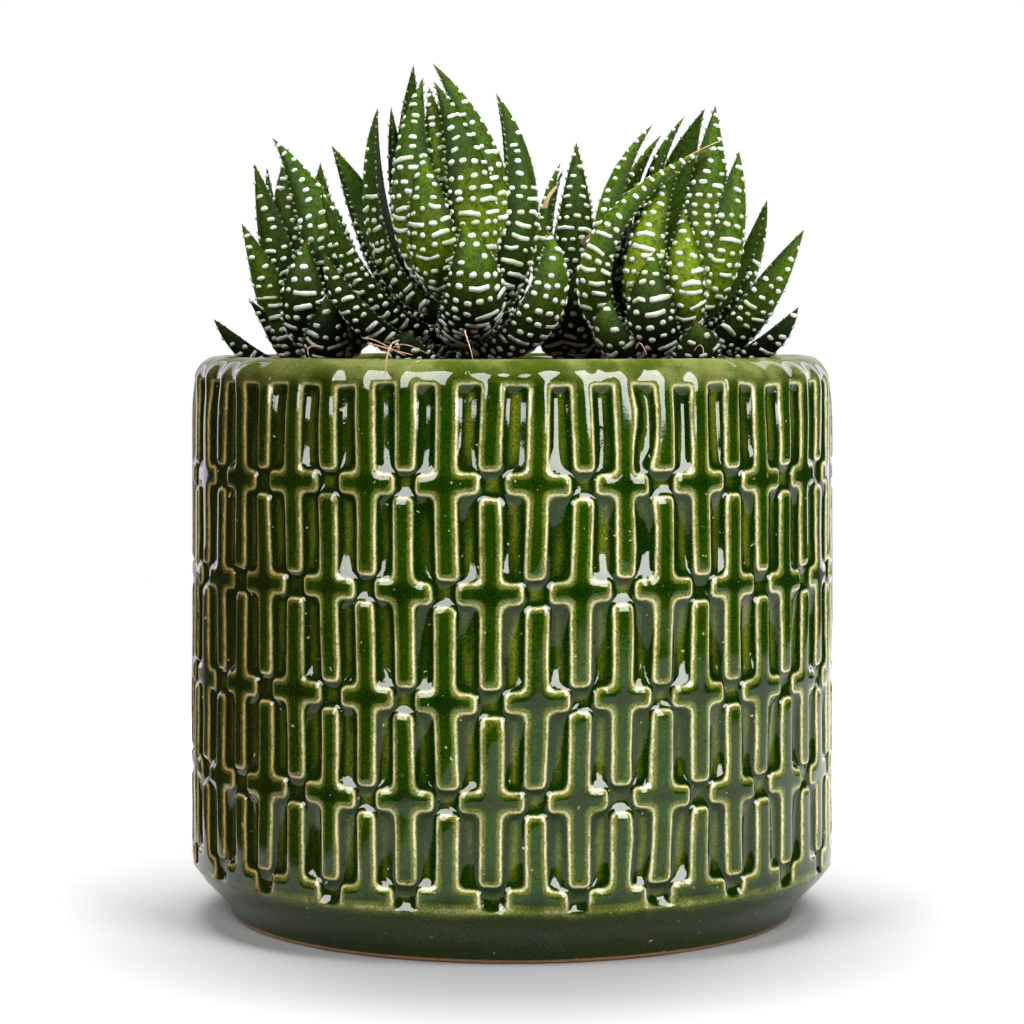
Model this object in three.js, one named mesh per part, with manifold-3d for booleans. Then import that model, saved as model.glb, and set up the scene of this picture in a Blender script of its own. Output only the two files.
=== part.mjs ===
// A clump of zebra haworthia in a glazed stoneware pot: the pot with its raised bars and
// crosses, the potting mix, and five rosettes whose short stems stand in holes in the mix.
// Millimetres, +Z up, the front faces -Y, origin at the bottom centre of the pot's foot.
import * as THREE from 'three';
import { mergeVertices } from 'three/addons/utils/BufferGeometryUtils.js';
import Module from 'manifold-3d';

const wasm = await Module();
wasm.setup();

// ---- driving dimensions: pot ----
const POT_HEIGHT = 122;
const TOP_RADIUS = 70;          // outside of the rim band and of the bars just below it
const FLARE = 0.6;              // the wall is this much wider at the bottom
const RELIEF = 1.3;             // how far bars and crosses stand out of the wall
const INNER_RADIUS = 63;
const FLOOR_HEIGHT = 8;         // top of the pot's floor
const FLOOR_CORNER = 5;         // bevel where the floor meets the wall, inside
const FOOT_RADIUS = 61.8;
const FOOT_RING_WIDTH = 9;
const FOOT_RECESS = 1.5;        // the underside inside the foot ring is this much higher
const RIM_BAND = 5;             // plain band above the wall's grooves
const WALL_BOTTOM = 13;         // where the wall starts to turn in to the foot

// ---- driving dimensions: relief ----
const COLUMNS = 25;             // crosses round the pot in one row
const COLUMN_PITCH = 2 * Math.PI / COLUMNS;
const FIRST_COLUMN = 4 * Math.PI / 180;   // from the front, towards +X
const ROW_HEIGHTS = [97.1, 75.8, 54.3, 34.2, 14.4];   // middles of the crossbars, top row first
const BAR_WIDTH = 4.3;
const CROSSBAR_WIDTH = 12.6;
const CROSSBAR_HEIGHT = 4.2;
const END_GAP = 0.5;            // between a bar's end and the level of the next row's crossbars
const RELIEF_ROOT = 1.2;        // how deep a raised shape reaches into the wall

// ---- driving dimensions: potting mix ----
const SOIL_TOP = 112;
const SOIL_DISH = 0.5;          // the mix is this much lower in the middle
const CLEARANCE = 0.3;          // between pieces that touch
const STEM_RADIUS = 5;
const STEM_DEPTH = 16;          // how far a stem reaches down into the mix
const CROWN_RADIUS = 7.5;       // where the lowest leaves leave the stem
const CROWN_TOP_RADIUS = 5;
const CROWN_POINT = 6;          // the stem ends this far above the highest leaf's root

// ---- driving dimensions: leaves ----
const ROOT_HEIGHT = 119;        // where the lowest leaves leave the stem
const RING_STEP = 7;            // about this far along a leaf from ring to ring
const FEWEST_RINGS = 6;
const MOST_RINGS = 8;
const WIDEST = 0.38;            // where a leaf is broadest, as a share of its length
const KEEL = 0.36;              // thickness of a leaf's back, as a share of its width
const BAND_HEIGHT = 0.9;        // how far the raised bands stand out of the leaf's back
const TOOTH = 0.7;              // how far the teeth stand out of the leaf's margins
const TIP_LENGTH = 3;

// Leaves are written as [azimuth, root, belly, reach, height, sway, width]: the direction that
// the leaf leaves the stem in (degrees, 0 is +X, -90 the front), how far above the lowest ones it
// leaves it, how far its lower part bows out from the stem, how far out and how far up its tip
// ends, how far the tip leans sideways (positive is counterclockwise seen from above), and the
// widest width.
const ROSETTES = {
  rosette_centre: {
    at: [-12, -9],
    leaves: [
      [-46, 18, 15, 0.5, 65.5, -7.5, 13.5],
      [-97, 20, 12.5, 6.5, 60.5, -5, 10.5],
      [-68, 18, 17, 6, 61.5, -7.5, 12.5],
      [-124, 19, 17.5, 8, 62.5, -3, 12],
      [-104, 17, 19.5, 13.5, 47.5, -3.5, 11],
      [-78, 9, 25.5, 21.5, 31, -3, 13.5],
      [-32, 14, 18, 7.5, 59.5, 4, 12.5],
      [10, 16, 12, 9, 58, 0.5, 10],
      [-46, 4, 28, 24.5, 29.5, 3.5, 13],
      [175, 15, 15.5, 17, 56.5, 0.5, 14],
      [160, 15, 10.5, 15, 57, 0.5, 11],
      [141, 17, 11.5, 10, 66, 2.5, 13.5],
      [143, 12, 17, 28.5, 49, 8, 15.5],
      [-165, 9, 20, 30, 38, 1.5, 11.5],
      [-149, 5, 24, 32.5, 25, 0.5, 11],
      [-114, 1, 24.5, 29, 8.5, 3.5, 11],
      [90, 13, 15, 17, 46, 0, 12],
      [38, 10, 15, 19, 37, 0, 12],
      [66, 5, 17, 22, 29, 0, 12],
      [112, 4, 16, 22, 28, 0, 11],
    ],
  },
  rosette_left: {
    at: [-42, 5],
    leaves: [
      [-66, 9, 14, 1.5, 50.5, -12, 13],
      [-125, 11, 11.5, 6, 48.5, -4.5, 11],
      [-136, 6, 10, 19, 44.5, 0, 12.5],
      [-131, 3, 12, 24, 31.5, -0.5, 12],
      [-144, 0, 9, 20.5, 15.5, 2.5, 7.5],
      [-160, 0, 15.5, 24.5, 11, -0.5, 10],
      [168, 9, 8.5, 12.5, 44.5, 0, 9],
      [-99, 6, 19.5, 17, 28, 0.5, 11],
      [-44, 8, 8.5, 4, 39.5, -3, 8.5],
      [-82, 2, 19, 23, 16, -1, 10.5],
      [-25, 4, 10.5, 10, 20, -1, 9],
      [95, 9, 8, 10, 46, 0, 10.5],
      [140, 7, 12, 14, 39, 0, 11],
      [112, 2, 16, 20, 28, 0, 12],
    ],
  },
  rosette_right: {
    at: [36, -4],
    leaves: [
      [-155, 5, 27, -2, 48, 13, 12.5],
      [-122, 9, 19.5, 5.5, 43, 3.5, 11.5],
      [-88, 8, 19, 12, 34.5, 0, 9.5],
      [-63, 15, 10.5, 7.5, 57, 5, 12.5],
      [-42, 14, 12, 14.5, 47, 3, 13],
      [-164, 10, 18, 6, 53, 1, 13],
      [172, 13, 13, 3.5, 51, -0.5, 12.5],
      [174, 16, 7.5, -1.5, 55, -1, 11.5],
      [119, 16, 8, 1.5, 57, -8, 13],
      [-108, 3, 24.5, 19.5, 25.5, 0.5, 11.5],
      [14, 10, 13.5, 20, 37, -1.5, 12],
      [-28, 5, 17, 29.5, 30, 0.5, 14.5],
      [-34, 1, 21.5, 30, 13.5, 0, 10],
      [-69, 14, 12.5, 9, 36, 3, 8],
      [-130, 2, 23.5, 24, 15, 0.5, 11],
      [-80, 1, 21.5, 25, 10.5, -2, 10.5],
      [45, 8, 14, 15, 42, 0, 11.5],
      [95, 11, 12, 13, 46, 0, 11.5],
      [68, 3, 17, 20, 30, 0, 12],
      [130, 5, 14, 16, 36, 0, 10.5],
    ],
  },
  rosette_middle: {
    at: [14, 26],
    leaves: [
      [-89, 11, 9, 3, 51, 0.5, 10],
      [-155, 11, 8.5, 3.5, 46.5, 0.5, 8.5],
      [172, 10, 6.5, 2.5, 45, -0.5, 7.5],
      [-41, 8, 7, 7, 34, -2, 9],
      [-86, 5, 14.5, 15, 23.5, 0, 9.5],
      [-120, 4, 13.5, 15.5, 23.5, 1.5, 9],
      [45, 8, 9, 8, 36, 0, 10],
      [100, 7, 10, 8, 40, 0, 10],
      [5, 4, 12, 13, 27, 0, 10],
      [70, 2, 15, 17, 24, 0, 11],
    ],
  },
  rosette_rear: {
    at: [-14, 41],
    leaves: [
      [-75, 9, 7, 4, 34, 0, 9],
      [-10, 6, 9, 9, 31, 0, 10],
      [52, 6, 9, 9, 34, 0, 10],
      [120, 7, 9, 8, 33, 0, 10],
      [-165, 5, 9, 10, 30, 0, 9.5],
      [92, 2, 13, 15, 20, 0, 10.5],
      [165, 2, 13, 16, 19, 0, 10],
      [20, 2, 13, 15, 17, 0, 10],
    ],
  },
};

// ---- geometry helpers ----
function solidOf(geometry) {
  const bare = geometry.clone();
  bare.deleteAttribute('normal');
  bare.deleteAttribute('uv');
  const merged = mergeVertices(bare, 1e-4);
  return new wasm.Manifold(new wasm.Mesh({
    numProp: 3,
    vertProperties: new Float32Array(merged.attributes.position.array),
    triVerts: new Uint32Array(merged.index.array),
  }));
}

function geometryOf(solid) {
  const mesh = solid.getMesh();
  const geometry = new THREE.BufferGeometry();
  geometry.setAttribute('position', new THREE.BufferAttribute(mesh.vertProperties, 3));
  geometry.setIndex(new THREE.BufferAttribute(mesh.triVerts, 1));
  geometry.computeVertexNormals();
  return geometry;
}

function lathe(profile, segments) {
  const points = profile.map(([radius, height]) => new THREE.Vector2(radius, height));
  const geometry = new THREE.LatheGeometry(points, segments);
  geometry.rotateX(Math.PI / 2);
  return geometry;
}

function joined(solids) {
  return solids.reduce((whole, solid) => whole.add(solid));
}

// ---- pot ----
function wallRadius(height) {
  return TOP_RADIUS + FLARE * (1 - height / POT_HEIGHT);
}

function potBody() {
  const groove = (height) => wallRadius(height) - RELIEF;
  const wallTop = POT_HEIGHT - RIM_BAND;
  const profile = [
    [0, FOOT_RECESS],
    [FOOT_RADIUS - FOOT_RING_WIDTH, FOOT_RECESS],
    [FOOT_RADIUS - FOOT_RING_WIDTH, 0],
    [FOOT_RADIUS, 0],
    [63.6, 3.6],
    [67.2, 7.2],
    [groove(WALL_BOTTOM), WALL_BOTTOM - 2],
    [groove(wallTop), wallTop - 0.6],
    [TOP_RADIUS, wallTop + 0.6],
    [69, 120.2],
    [67, 121.7],
    [65.4, POT_HEIGHT],
    [63.6, 121],
    [INNER_RADIUS, 118.5],
    [INNER_RADIUS, FLOOR_HEIGHT + FLOOR_CORNER],
    [INNER_RADIUS - FLOOR_CORNER, FLOOR_HEIGHT],
    [0, FLOOR_HEIGHT],
  ];
  // One facet for each bar, with the facets' corners halfway between bars.
  const body = lathe(profile, 2 * COLUMNS);
  body.rotateZ(FIRST_COLUMN + COLUMN_PITCH / 4);
  return solidOf(body);
}

// A raised shape: an outline of [along, up] points, wrapped round the wall at an angle.
function raised(outline, angle) {
  const shape = new THREE.Shape(outline.map(([along, up]) => new THREE.Vector2(along, up)));
  const flat = new THREE.ExtrudeGeometry(shape, { depth: RELIEF + RELIEF_ROOT, bevelEnabled: false });
  const position = flat.attributes.position;
  for (let i = 0; i < position.count; i += 1) {
    const up = position.getY(i);
    const turn = angle + position.getX(i) / TOP_RADIUS;
    const radius = wallRadius(up) - RELIEF - RELIEF_ROOT + position.getZ(i);
    position.setXYZ(i, radius * Math.sin(turn), -radius * Math.cos(turn), up);
  }
  return solidOf(flat);
}

function barOutline(bottom, top) {
  const half = BAR_WIDTH / 2;
  return [[-half, bottom], [half, bottom], [half, top], [-half, top]];
}

function crossOutline(bottom, middle, top) {
  const half = BAR_WIDTH / 2;
  const arm = CROSSBAR_WIDTH / 2;
  const low = middle - CROSSBAR_HEIGHT / 2;
  const high = middle + CROSSBAR_HEIGHT / 2;
  const below = low - bottom > 1 ? [[-half, low], [-half, bottom], [half, bottom], [half, low]] : [];
  return [...below, [arm, low], [arm, high], [half, high], [half, top], [-half, top],
    [-half, high], [-arm, high], [-arm, low]];
}

function relief() {
  const rowTop = (row) => ROW_HEIGHTS[row] + CROSSBAR_HEIGHT / 2;
  const rowBottom = (row) => ROW_HEIGHTS[row] - CROSSBAR_HEIGHT / 2;
  const last = ROW_HEIGHTS.length - 1;
  const topEnd = POT_HEIGHT - RIM_BAND + 0.5;
  const shapes = [];
  for (let column = 0; column < COLUMNS; column += 1) {
    const angle = FIRST_COLUMN + column * COLUMN_PITCH;
    const between = angle + COLUMN_PITCH / 2;
    shapes.push(raised(barOutline(rowTop(0) + END_GAP, topEnd), between));
    for (let row = 0; row <= last; row += 1) {
      const top = row === 0 ? topEnd : rowBottom(row - 1) - END_GAP;
      const bottom = row === last ? rowBottom(row) : rowTop(row + 1) + END_GAP;
      shapes.push(raised(crossOutline(bottom, ROW_HEIGHTS[row], top), row % 2 ? between : angle));
    }
  }
  return shapes;
}

function buildPot() {
  return geometryOf(joined([potBody(), ...relief()]));
}

// ---- potting mix ----
function buildSoil() {
  const bottom = FLOOR_HEIGHT + CLEARANCE;
  const side = INNER_RADIUS - CLEARANCE;
  const mix = solidOf(lathe([
    [0, bottom],
    [side - FLOOR_CORNER - SOIL_DISH, bottom],
    [side, bottom + FLOOR_CORNER + SOIL_DISH],
    [side, SOIL_TOP - 2 * SOIL_DISH],
    [0.88 * side, SOIL_TOP],
    [0, SOIL_TOP - SOIL_DISH],
  ], COLUMNS));
  const holeBottom = SOIL_TOP - STEM_DEPTH - CLEARANCE;
  const holeRadius = STEM_RADIUS + CLEARANCE;
  const holeLength = ROOT_HEIGHT - holeBottom;
  const holes = Object.values(ROSETTES).map(({ at }) => {
    const hole = new THREE.CylinderGeometry(holeRadius, holeRadius, holeLength, 8);
    hole.rotateX(Math.PI / 2);
    hole.translate(at[0], at[1], holeBottom + holeLength / 2);
    return solidOf(hole);
  });
  return geometryOf(holes.reduce((rest, hole) => rest.subtract(hole), mix));
}

// ---- leaves ----
// Share of the full width along the leaf: broadest at WIDEST, then tapering to the point.
function leafOutline(t) {
  const away = t < WIDEST ? 0.5 * (1 - t / WIDEST) : (t - WIDEST) / (1 - WIDEST);
  return 1 - away ** 2;
}

function leafCurve([azimuth, root, belly, reach, height, sway]) {
  const turn = azimuth * Math.PI / 180;
  const out = new THREE.Vector3(Math.cos(turn), Math.sin(turn), 0);
  const side = new THREE.Vector3(-Math.sin(turn), Math.cos(turn), 0);
  const up = new THREE.Vector3(0, 0, 1);
  const at = (away, rise, lean) => new THREE.Vector3()
    .addScaledVector(out, away)
    .addScaledVector(up, ROOT_HEIGHT + rise)
    .addScaledVector(side, lean);
  const curve = new THREE.CubicBezierCurve3(
    at(2, root, 0),
    at(0.85 * belly, root + 0.03 * (height - root), 0),
    at(1.15 * belly, root + 0.55 * (height - root), 0.15 * sway),
    at(reach, height, sway),
  );
  return { curve, side };
}

// Five points to a ring: two margins, and a keeled back between them. Every other ring
// stands proud as a raised band, and its margins stand out as teeth, less so near the tip.
function leafRing(curve, side, t, width, banded) {
  const middle = curve.getPoint(t);
  const along = curve.getTangent(t);
  const back = new THREE.Vector3().crossVectors(side, along).normalize();
  const across = new THREE.Vector3().crossVectors(along, back).normalize();
  const share = leafOutline(t);
  const proud = banded ? Math.min(1, 2 * share) : 0;
  const half = 0.5 * width * share + proud * TOOTH;
  const keel = KEEL * width * share ** 0.8 + proud * BAND_HEIGHT;
  return [[-1, 0], [-0.62, 0.72], [0, 1], [0.62, 0.72], [1, 0]].map(([sideways, outward]) => middle.clone()
    .addScaledVector(across, half * sideways)
    .addScaledVector(back, keel * outward));
}

function leafSolid(leaf) {
  const { curve, side } = leafCurve(leaf);
  const width = leaf[6];
  const length = curve.getLength();
  const rings = THREE.MathUtils.clamp(Math.round(length / RING_STEP), FEWEST_RINGS, MOST_RINGS);
  const last = 1 - TIP_LENGTH / length;
  const points = [];
  for (let ring = 0; ring < rings; ring += 1) {
    const t = last * ring / (rings - 1);
    const banded = ring % 2 === 1;
    points.push(...leafRing(curve, side, t, width, banded));
  }
  points.push(curve.getPoint(1));
  const sides = 5;
  const tip = points.length - 1;
  const index = [];
  for (let ring = 0; ring < rings - 1; ring += 1) {
    for (let k = 0; k < sides; k += 1) {
      const a = ring * sides + k;
      const b = ring * sides + (k + 1) % sides;
      index.push(a, b, a + sides, b, b + sides, a + sides);
    }
  }
  const end = (rings - 1) * sides;
  for (let k = 0; k < sides; k += 1) {
    index.push(end + k, end + (k + 1) % sides, tip);
  }
  index.push(0, 2, 1, 0, 3, 2, 0, 4, 3);
  const geometry = new THREE.BufferGeometry().setFromPoints(points);
  geometry.setIndex(index);
  return solidOf(geometry);
}

function buildRosette({ at, leaves }) {
  const highestRoot = ROOT_HEIGHT + Math.max(...leaves.map((leaf) => leaf[1]));
  const stem = solidOf(lathe([
    [0, SOIL_TOP - STEM_DEPTH],
    [STEM_RADIUS, SOIL_TOP - STEM_DEPTH],
    [STEM_RADIUS, ROOT_HEIGHT - 3],
    [CROWN_RADIUS, ROOT_HEIGHT],
    [CROWN_TOP_RADIUS, highestRoot],
    [0, highestRoot + CROWN_POINT],
  ], 8));
  const head = joined([stem, ...leaves.map(leafSolid)]);
  return geometryOf(head).translate(at[0], at[1], 0);
}

// ---- materials ----
const glaze = (color) => new THREE.MeshStandardMaterial({ color, roughness: 0.12, metalness: 0 });
const earth = new THREE.MeshStandardMaterial({ color: 0x3a2a1d, roughness: 0.95, metalness: 0 });
const leafGreen = (color) => new THREE.MeshStandardMaterial({ color, roughness: 0.5, metalness: 0 });

// ---- scene graph ----
function named(name, geometry, material) {
  const mesh = new THREE.Mesh(geometry, material);
  mesh.name = name;
  return mesh;
}

const haworthia = new THREE.Group();
haworthia.add(named('pot', buildPot(), glaze(0x3f5a14)));
haworthia.add(named('soil', buildSoil(), earth));
for (const [name, rosette] of Object.entries(ROSETTES)) {
  haworthia.add(named(name, buildRosette(rosette), leafGreen(0x35612a)));
}

export default haworthia;
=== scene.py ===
"""A clump of zebra haworthia in a green glazed stoneware pot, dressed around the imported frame.

Everything is in metres, +Z up, and the front faces -Y, as in the frame. Sizes are written in
millimetres times MM.
"""

import math
import random
from contextlib import contextmanager

import bpy
import numpy as np
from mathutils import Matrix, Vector


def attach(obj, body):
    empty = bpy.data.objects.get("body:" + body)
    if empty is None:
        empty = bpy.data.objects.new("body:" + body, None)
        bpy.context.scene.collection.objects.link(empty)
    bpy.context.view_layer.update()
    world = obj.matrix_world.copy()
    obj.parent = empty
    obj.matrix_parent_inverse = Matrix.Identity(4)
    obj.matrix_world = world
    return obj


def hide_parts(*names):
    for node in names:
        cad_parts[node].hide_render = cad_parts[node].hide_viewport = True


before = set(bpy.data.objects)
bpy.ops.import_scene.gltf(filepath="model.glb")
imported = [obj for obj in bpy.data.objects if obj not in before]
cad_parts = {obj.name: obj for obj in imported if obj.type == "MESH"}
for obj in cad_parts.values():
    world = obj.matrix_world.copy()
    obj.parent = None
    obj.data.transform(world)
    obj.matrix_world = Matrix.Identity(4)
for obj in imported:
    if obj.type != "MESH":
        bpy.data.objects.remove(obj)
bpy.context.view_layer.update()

MM = 0.001


# ---- camera: fitted to the outline of the pot and the rows of its relief in the photograph ----
CAMERA_PLACE = (0, -665 * MM, 128.8 * MM)
CAMERA_PITCH = math.radians(3.55)
LENS = 106.33
SENSOR_WIDTH = 36
CLIP_START = 0.01


def add_camera():
    turn = (math.pi / 2 - CAMERA_PITCH, 0, 0)
    bpy.ops.object.camera_add(location=CAMERA_PLACE, rotation=turn)
    camera = bpy.context.object
    camera.data.lens = LENS
    camera.data.sensor_width = SENSOR_WIDTH
    camera.data.clip_start = CLIP_START
    bpy.context.scene.camera = camera


# ---- making and finishing pieces ----
def deselect():
    for thing in bpy.context.selected_objects:
        thing.select_set(False)


def choose(piece):
    deselect()
    piece.select_set(True)
    bpy.context.view_layer.objects.active = piece


@contextmanager
def editing_all():
    """Edit mode with every part of the active mesh selected."""
    bpy.ops.object.mode_set(mode="EDIT")
    bpy.ops.mesh.select_all(action="SELECT")
    yield
    bpy.ops.object.mode_set(mode="OBJECT")


def coordinates(piece):
    places = np.empty(len(piece.data.vertices) * 3)
    piece.data.vertices.foreach_get("co", places)
    return places.reshape(-1, 3)


def place_vertices(piece, places):
    piece.data.vertices.foreach_set("co", np.ascontiguousarray(places, dtype=float).ravel())
    piece.data.update()


def faces_of(piece):
    return [tuple(polygon.vertices) for polygon in piece.data.polygons]


def give_attribute(piece, name, values):
    attribute = piece.data.attributes.new(name, "FLOAT", "POINT")
    attribute.data.foreach_set("value", np.asarray(values, dtype=np.float32).ravel())


def piece_of_copies(name, pattern, copies):
    """One piece from many copies of a small pattern: copies has one array of places for each."""
    faces = faces_of(pattern)
    count = len(pattern.data.vertices)
    places = np.concatenate(copies)
    all_faces = [
        tuple(corner + count * copy for corner in face)
        for copy in range(len(copies))
        for face in faces
    ]
    mesh = bpy.data.meshes.new(name)
    mesh.from_pydata(places.tolist(), [], all_faces)
    piece = bpy.data.objects.new(name, mesh)
    bpy.context.scene.collection.objects.link(piece)
    return piece


def weld(piece):
    """Joins points that lie on each other, as where a rolled grid meets its own edge."""
    choose(piece)
    with editing_all():
        bpy.ops.mesh.remove_doubles(threshold=1e-6)


def face_outwards(piece):
    choose(piece)
    with editing_all():
        bpy.ops.mesh.remove_doubles(threshold=1e-7)
        bpy.ops.mesh.normals_make_consistent(inside=False)


def smooth(piece, sharp_angle=180):
    choose(piece)
    bpy.ops.object.shade_smooth_by_angle(angle=math.radians(sharp_angle))


def finish_piece(piece, slot, material, *nodes):
    piece.data.materials.clear()
    piece.data.materials.append(material)
    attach(piece, "root")
    if nodes:
        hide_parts(*nodes)


def remove(piece):
    bpy.data.objects.remove(piece)


# ---- lines and turns ----
def unit(vectors):
    return vectors / np.linalg.norm(vectors, axis=-1, keepdims=True)


def rolled(radius, turn, height):
    """Places round the pot's axis; the turn starts at the front and goes to the right."""
    return np.stack([radius * np.sin(turn), -radius * np.cos(turn), height], axis=-1)


def curve_points(posts, t):
    """Points of the line that four posts draw, at a column t of shares of the way."""
    a, b, c, d = posts
    return (1 - t) ** 3 * a + 3 * (1 - t) ** 2 * t * b + 3 * (1 - t) * t ** 2 * c + t ** 3 * d


def curve_directions(posts, t):
    a, b, c, d = posts
    return unit((1 - t) ** 2 * (b - a) + 2 * (1 - t) * t * (c - b) + t ** 2 * (d - c))


# ---- materials ----
class Value:
    """A number that varies over a surface. Arithmetic on it adds Math nodes."""

    def __init__(self, nodes, socket):
        self.nodes = nodes
        self.socket = socket

    def math(self, operation, first, second=0.0):
        return self.nodes.node("Math", {"operation": operation}, {0: first, 1: second})

    def __add__(self, other):
        return self.math("ADD", self, other)

    __radd__ = __add__

    def __sub__(self, other):
        return self.math("SUBTRACT", self, other)

    def __rsub__(self, other):
        return self.math("SUBTRACT", other, self)

    def __mul__(self, other):
        return self.math("MULTIPLY", self, other)

    __rmul__ = __mul__

    def __truediv__(self, other):
        return self.math("DIVIDE", self, other)

    def __abs__(self):
        return self.math("ABSOLUTE", self)


class Nodes:
    """A node tree, and one way to add any node to it."""

    def __init__(self, tree):
        self.tree = tree

    def node(self, kind, settings, sockets, output=0):
        made = self.tree.nodes.new("ShaderNode" + kind)
        for name, value in settings.items():
            setattr(made, name, value)
        for name, value in sockets.items():
            if isinstance(value, Value):
                self.tree.links.new(value.socket, made.inputs[name])
            else:
                made.inputs[name].default_value = value
        return Value(self, made.outputs[output])


class Finish(Nodes):
    """A material: its Principled shader, and short ways to add nodes in front of it."""

    def __init__(self, name, **constants):
        self.material = bpy.data.materials.new(name)
        self.material.use_nodes = True
        super().__init__(self.material.node_tree)
        self.shader = self.tree.nodes["Principled BSDF"]
        for socket, value in constants.items():
            self.shader.inputs[socket.replace("_", " ")].default_value = value
        self.place = self.node("TexCoord", {}, {}, "Object")

    def attribute(self, name):
        return self.node("Attribute", {"attribute_name": name}, {}, "Fac")

    def axis(self, letter):
        return self.node("SeparateXYZ", {}, {"Vector": self.place}, letter)

    def noise(self, scale, detail=3.0, vector=None):
        sockets = {"Vector": vector or self.place, "Scale": scale, "Detail": detail}
        return self.node("TexNoise", {}, sockets)

    def scaled_place(self, x, y, z):
        return self.node("Mapping", {}, {"Vector": self.place, "Scale": (x, y, z)})

    def step(self, value, low, high):
        """0 up to low, 1 from high, smooth between; low may be the larger one."""
        if low < high:
            sockets = {0: value, 1: low, 2: high, 3: 0.0, 4: 1.0}
        else:
            sockets = {0: value, 1: high, 2: low, 3: 1.0, 4: 0.0}
        return self.node("MapRange", {"interpolation_type": "SMOOTHSTEP"}, sockets)

    def mix(self, share, first, second):
        colours = {0: share, 6: first, 7: second}
        settings = {"data_type": "RGBA", "clamp_factor": True}
        return self.node("Mix", settings, colours, 2)

    def tinted(self, body, share):
        """A colour made darker or lighter by a share of itself."""
        return self.node("VectorMath", {"operation": "SCALE"}, {0: body, "Scale": share})

    def feed(self, socket, value):
        self.tree.links.new(value.socket, self.shader.inputs[socket])

    def bump(self, height, distance, strength=1.0):
        sockets = {"Height": height, "Distance": distance, "Strength": strength}
        self.feed("Normal", self.node("Bump", {}, sockets, "Normal"))


def colour(red, green, blue):
    """A screen colour, 0 to 255, as the linear colour that a socket takes."""
    def linear(level):
        share = level / 255
        return share / 12.92 if share <= 0.04045 else ((share + 0.055) / 1.055) ** 2.4
    return (linear(red), linear(green), linear(blue), 1.0)


# ---- pot: sizes ----
POT_HEIGHT = 122.0
TOP_RADIUS = 70.0
FLARE = 0.6
RELIEF = 1.3
INNER_RADIUS = 63.0
FLOOR_HEIGHT = 8.0
FLOOR_CORNER = 5.0
FOOT_RADIUS = 61.8
FOOT_RING_WIDTH = 9.0
FOOT_RECESS = 1.5
COLUMNS = 25
FIRST_COLUMN = math.radians(4)
ROW_HEIGHTS = (97.1, 75.8, 54.3, 34.2, 14.4)
BAR_WIDTH = 4.3
CROSSBAR_WIDTH = 12.6
CROSSBAR_HEIGHT = 4.2
END_GAP = 0.5
RIM_EDGE = 116.8
FOOT_EDGE = 11.6
HALF_PITCH = math.pi / COLUMNS
ARC = HALF_PITCH * TOP_RADIUS

# The wall leans in from this height up, by a share of the square of the height above it.
LEAN_START = 106.0
LEAN = 0.0045

# The mould's seam, and how far its ridge stands out.
SEAM_TURN = math.radians(22.3)
SEAM_WIDTH = 0.7
SEAM_RIDGE = 0.3

# How far the pattern wanders: bars sideways, more so by the seam, and crossbars up and down.
BAR_WANDER = 0.34
SEAM_WANDER = 0.7
SEAM_WANDER_WIDTH = 2.5
CROSSBAR_WANDER = 0.26

# How the glaze lies, as shares of the relief and reaches in millimetres: the low crown of a bar,
# its round edge, and the pool along its foot.
CROWN = 0.12
CROWN_REACH = 2.1
ROUND_EDGE = 0.24
ROUND_EDGE_REACH = 0.85
POOL = 0.64
POOL_REACH = 2.5
POOL_BLEND = 4.4

# From MELT_TOP down the relief melts into the smooth foot, and below SWELL_START nothing swells.
MELT_TOP = 13.5
MELT_DEPTH = 3.5
SWELL_START = 9.0

# Further than any distance that the relief uses.
FAR = 9.0


def mirrored(*steps):
    return (*(-step for step in reversed(steps)), 0, *steps)


# Where the mesh has its lines: across half a pitch from the middle of a bar, and up and down
# from the middle of a crossbar, close together where the relief is steep.
LINES_ACROSS = mirrored(0.9, 1.45, 1.8, 2.1, 2.45, 2.9, 3.5)
LINES_UP = mirrored(1.0, 1.6, 2.0, 2.35, 2.75, 3.3, 4.2)


def wall_radius(height):
    return TOP_RADIUS + FLARE * (1 - height / POT_HEIGHT)


def pot_outline():
    """The pot's outside with all its grooves filled, from the foot's corner up over the rim."""
    foot = [(60.9, 0.0), (61.7, 0.15), (61.95, 0.7), (62.2, 1.7), (62.8, 2.9), (63.8, 4.2)]
    foot += [(65.3, 5.7), (66.7, 7.1), (68.0, 8.4), (69.1, 9.8), (69.95, 10.9)]
    levels = {round(middle + line, 3) for middle in ROW_HEIGHTS for line in LINES_UP}
    for upper, lower in zip(ROW_HEIGHTS, ROW_HEIGHTS[1:]):
        gap = upper - lower - LINES_UP[-1] + LINES_UP[0]
        levels |= {round(lower + LINES_UP[-1] + gap * share, 3) for share in (0.33, 0.67)}
    levels |= {104.5, 108.5, 112.0, 114.2, 115.2, 115.8, 116.3, 116.7, 117.1}
    levels = [level for level in sorted(levels) if level > foot[-1][1] + 0.6]
    wall = [(wall_radius(z) - max(0, z - LEAN_START) ** 2 * LEAN, z) for z in levels]
    rim = [(69.4, 117.6), (69.25, 118.1), (68.95, 118.7), (68.5, 119.4), (67.95, 120.1)]
    rim += [(67.2, 120.85), (66.3, 121.45), (65.3, 121.85), (64.3, 121.95), (63.5, 121.6)]
    rim += [(63.05, 120.8), (62.95, 119.5)]
    return np.array(foot + wall + rim)


def outline_normals(outline):
    steps = np.gradient(outline, axis=0)
    return unit(np.stack([steps[:, 1], -steps[:, 0]], axis=1))


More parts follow.
